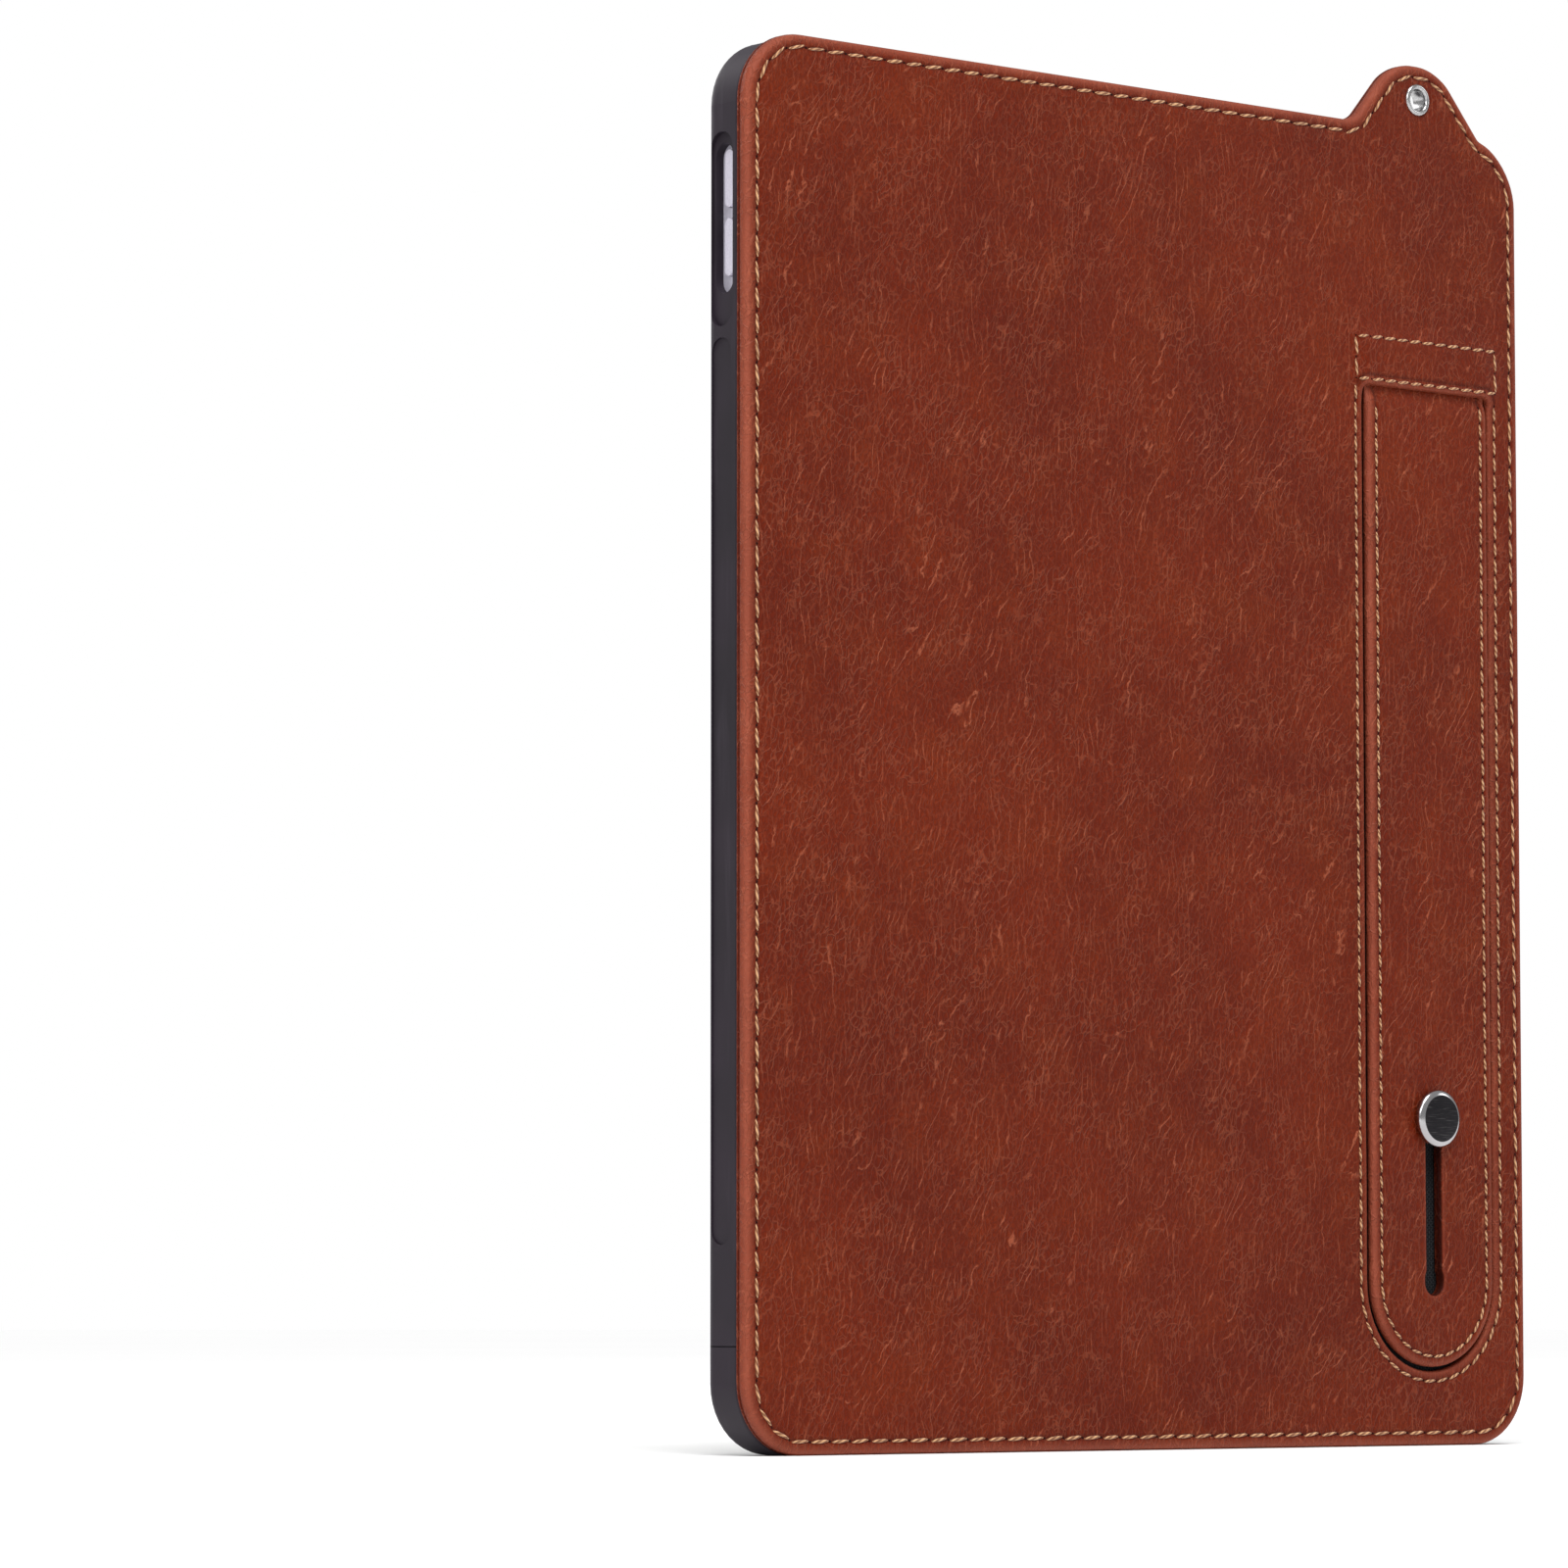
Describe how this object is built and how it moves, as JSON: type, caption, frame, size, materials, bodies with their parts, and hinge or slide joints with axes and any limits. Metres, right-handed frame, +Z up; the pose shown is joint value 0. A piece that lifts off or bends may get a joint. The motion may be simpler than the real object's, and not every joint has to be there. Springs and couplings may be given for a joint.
{
  "type": "e-reader",
  "caption": "Flat pen-and-paper style e-reader in a flexible shell with a stitched leather back, a lanyard tab and a sliding hand strap that lifts into a loop.",
  "frame": {"origin": "middle of the bottom edge, on the surface the case stands on", "axes": "+Z up along the page's height, the page faces -Y, the leather back faces +Y, the volume buttons are on +X"},
  "size_m": [0.194, 0.0152, 0.2654],
  "materials": {
    "shell": "soft-touch satin",
    "board": "fibreboard",
    "lining": "woven twill",
    "leather": "grained semi-gloss",
    "nickel": "brushed nickel plate",
    "housing": "anodised silver",
    "page_glass": "etched anti-glare",
    "dark_film": "adhesive foam",
    "clear_film": "clear film",
    "flex": "polyimide film",
    "page": "matte paper white",
    "circuit_board": "solder mask",
    "frame_metal": "stamped steel",
    "frame_alloy": "die-cast magnesium alloy",
    "battery_pack": "foil pouch with film",
    "chip": "moulded resin",
    "speaker_box": "moulded matte",
    "button": "anodised light silver"
  },
  "bodies": {
    "reader": {"case_shell": "shell", "stiffener_board": "board", "recess_lining": "lining", "leather_back": "leather", "tab_lining": "leather", "eyelet_barrel": "nickel", "eyelet_washer": "nickel", "stud_head": "nickel", "stud_post": "nickel", "strap_tail": "leather", "rear_housing": "housing", "cover_glass": "page_glass", "glass_gasket": "dark_film", "touch_sensor": "clear_film", "frontlight_guide": "clear_film", "led_strip": "flex", "display_panel": "page", "pen_digitizer": "circuit_board", "mid_frame": "frame_alloy", "frame_screws": "frame_metal", "battery": "battery_pack", "battery_cable": "flex", "main_board": "circuit_board", "processor": "chip", "memory_chip": "chip", "wireless_module": "frame_metal", "shield_can": "frame_metal", "usb_port": "frame_metal", "display_flex": "flex", "antenna_flex": "flex", "speaker_left": "speaker_box", "speaker_right": "speaker_box", "microphone": "frame_metal", "volume_switches": "flex", "power_switch": "flex"},
    "strap_link_1": {"strap_segment_1": "leather"},
    "strap_link_2": {"strap_segment_2": "leather"},
    "strap_link_3": {"strap_segment_3": "leather"},
    "strap_link_4": {"strap_segment_4": "leather"},
    "strap_link_5": {"strap_segment_5": "leather"},
    "strap_link_6": {"strap_segment_6": "leather"},
    "strap_link_7": {"strap_segment_7": "leather"},
    "strap_link_8": {"strap_segment_8": "leather"},
    "strap_link_9": {"strap_segment_9": "leather"},
    "strap_link_10": {"strap_segment_10": "leather"},
    "strap_link_11": {"strap_segment_11": "leather"},
    "strap_link_12": {"strap_segment_12": "leather"},
    "strap_tip": {"strap_end": "leather"},
    "volume_up": {"volume_up_button": "button"},
    "volume_down": {"volume_down_button": "button"},
    "power": {"power_button": "button"}
  },
  "joints": [
    {"name": "strap_lift", "type": "hinge", "parent": "reader", "child": "strap_link_1", "pos_m": [-0.0716, 0.0042, 0.198], "axis": [1, 0, 0], "range_deg": [0, 20.5]},
    {"name": "strap_bend_2", "type": "hinge", "parent": "strap_link_1", "child": "strap_link_2", "pos_m": [-0.0716, 0.0042, 0.1873], "axis": [1, 0, 0], "range_deg": [0, 25.82]},
    {"name": "strap_bend_3", "type": "hinge", "parent": "strap_link_2", "child": "strap_link_3", "pos_m": [-0.0716, 0.0042, 0.1766], "axis": [1, 0, 0], "range_deg": [0, 10.45]},
    {"name": "strap_bend_4", "type": "hinge", "parent": "strap_link_3", "child": "strap_link_4", "pos_m": [-0.0716, 0.0042, 0.1659], "axis": [1, 0, 0], "range_deg": [-5.33, 0]},
    {"name": "strap_bend_5", "type": "hinge", "parent": "strap_link_4", "child": "strap_link_5", "pos_m": [-0.0716, 0.0042, 0.1552], "axis": [1, 0, 0], "range_deg": [-15.57, 0]},
    {"name": "strap_bend_6", "type": "hinge", "parent": "strap_link_5", "child": "strap_link_6", "pos_m": [-0.0716, 0.0042, 0.1445], "axis": [1, 0, 0], "range_deg": [-23.77, 0]},
    {"name": "strap_bend_7", "type": "hinge", "parent": "strap_link_6", "child": "strap_link_7", "pos_m": [-0.0716, 0.0042, 0.1338], "axis": [1, 0, 0], "range_deg": [-24.8, 0]},
    {"name": "strap_bend_8", "type": "hinge", "parent": "strap_link_7", "child": "strap_link_8", "pos_m": [-0.0716, 0.0042, 0.1231], "axis": [1, 0, 0], "range_deg": [-23.77, 0]},
    {"name": "strap_bend_9", "type": "hinge", "parent": "strap_link_8", "child": "strap_link_9", "pos_m": [-0.0716, 0.0042, 0.1124], "axis": [1, 0, 0], "range_deg": [-15.57, 0]},
    {"name": "strap_bend_10", "type": "hinge", "parent": "strap_link_9", "child": "strap_link_10", "pos_m": [-0.0716, 0.0042, 0.1017], "axis": [1, 0, 0], "range_deg": [-5.33, 0]},
    {"name": "strap_bend_11", "type": "hinge", "parent": "strap_link_10", "child": "strap_link_11", "pos_m": [-0.0716, 0.0042, 0.091], "axis": [1, 0, 0], "range_deg": [0, 10.45]},
    {"name": "strap_bend_12", "type": "hinge", "parent": "strap_link_11", "child": "strap_link_12", "pos_m": [-0.0716, 0.0042, 0.0803], "axis": [1, 0, 0], "range_deg": [0, 25.82]},
    {"name": "strap_bend_13", "type": "hinge", "parent": "strap_link_12", "child": "strap_tip", "pos_m": [-0.0716, 0.0042, 0.0696], "axis": [1, 0, 0], "range_deg": [0, 20.7]},
    {"name": "volume_up_press", "type": "slide", "parent": "reader", "child": "volume_up", "axis": [-1, 0, 0], "range_m": [0, 0.00035], "stiffness_N_per_m": 700},
    {"name": "volume_down_press", "type": "slide", "parent": "reader", "child": "volume_down", "axis": [-1, 0, 0], "range_m": [0, 0.00035], "stiffness_N_per_m": 700},
    {"name": "power_press", "type": "slide", "parent": "reader", "child": "power", "axis": [0, 0, -1], "range_m": [0, 0.00035], "stiffness_N_per_m": 700}
  ],
  "couplings": [
    {"joint": "strap_bend_2", "follows": "strap_lift", "ratio": 1.25},
    {"joint": "strap_bend_3", "follows": "strap_lift", "ratio": 0.5},
    {"joint": "strap_bend_4", "follows": "strap_lift", "ratio": -0.25},
    {"joint": "strap_bend_5", "follows": "strap_lift", "ratio": -0.75},
    {"joint": "strap_bend_6", "follows": "strap_lift", "ratio": -1.15},
    {"joint": "strap_bend_7", "follows": "strap_lift", "ratio": -1.2},
    {"joint": "strap_bend_8", "follows": "strap_lift", "ratio": -1.15},
    {"joint": "strap_bend_9", "follows": "strap_lift", "ratio": -0.75},
    {"joint": "strap_bend_10", "follows": "strap_lift", "ratio": -0.25},
    {"joint": "strap_bend_11", "follows": "strap_lift", "ratio": 0.5},
    {"joint": "strap_bend_12", "follows": "strap_lift", "ratio": 1.25},
    {"joint": "strap_bend_13", "follows": "strap_lift", "ratio": 1}
  ]
}
